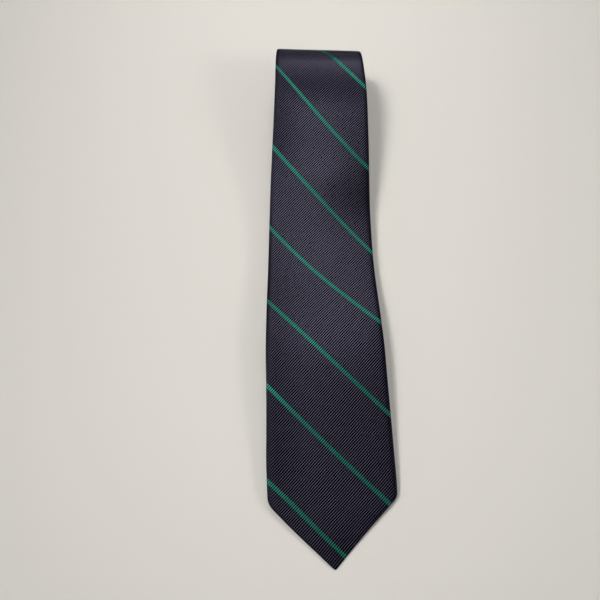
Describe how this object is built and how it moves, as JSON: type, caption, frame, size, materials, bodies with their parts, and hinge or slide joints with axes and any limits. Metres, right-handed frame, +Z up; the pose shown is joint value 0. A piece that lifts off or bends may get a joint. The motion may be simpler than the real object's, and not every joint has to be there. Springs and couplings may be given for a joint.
{
  "type": "silk necktie",
  "caption": "Striped silk necktie folded in half twice and lying face up, with a pointed wide blade on top and an open rounded fold at the far end.",
  "frame": {"origin": "on the resting surface, under the middle of the folded tie's box", "axes": "+Z up from the resting surface, +Y from the blade's point to the rounded far fold, +X to the right of the face"},
  "size_m": [0.0928, 0.4116, 0.0472],
  "materials": {
    "blade_silk": "dark navy silk repp with fine diagonal ribs and thin green stripes, soft sheen",
    "neck_silk": "dark navy silk repp with fine diagonal ribs and thin green stripes, soft sheen",
    "tail_silk": "dark navy silk repp with fine diagonal ribs and thin green stripes, soft sheen"
  },
  "bodies": {
    "root": {"blade_panel": "blade_silk", "neck_panel": "neck_silk", "tail_panel": "tail_silk"}
  },
  "joints": []
}
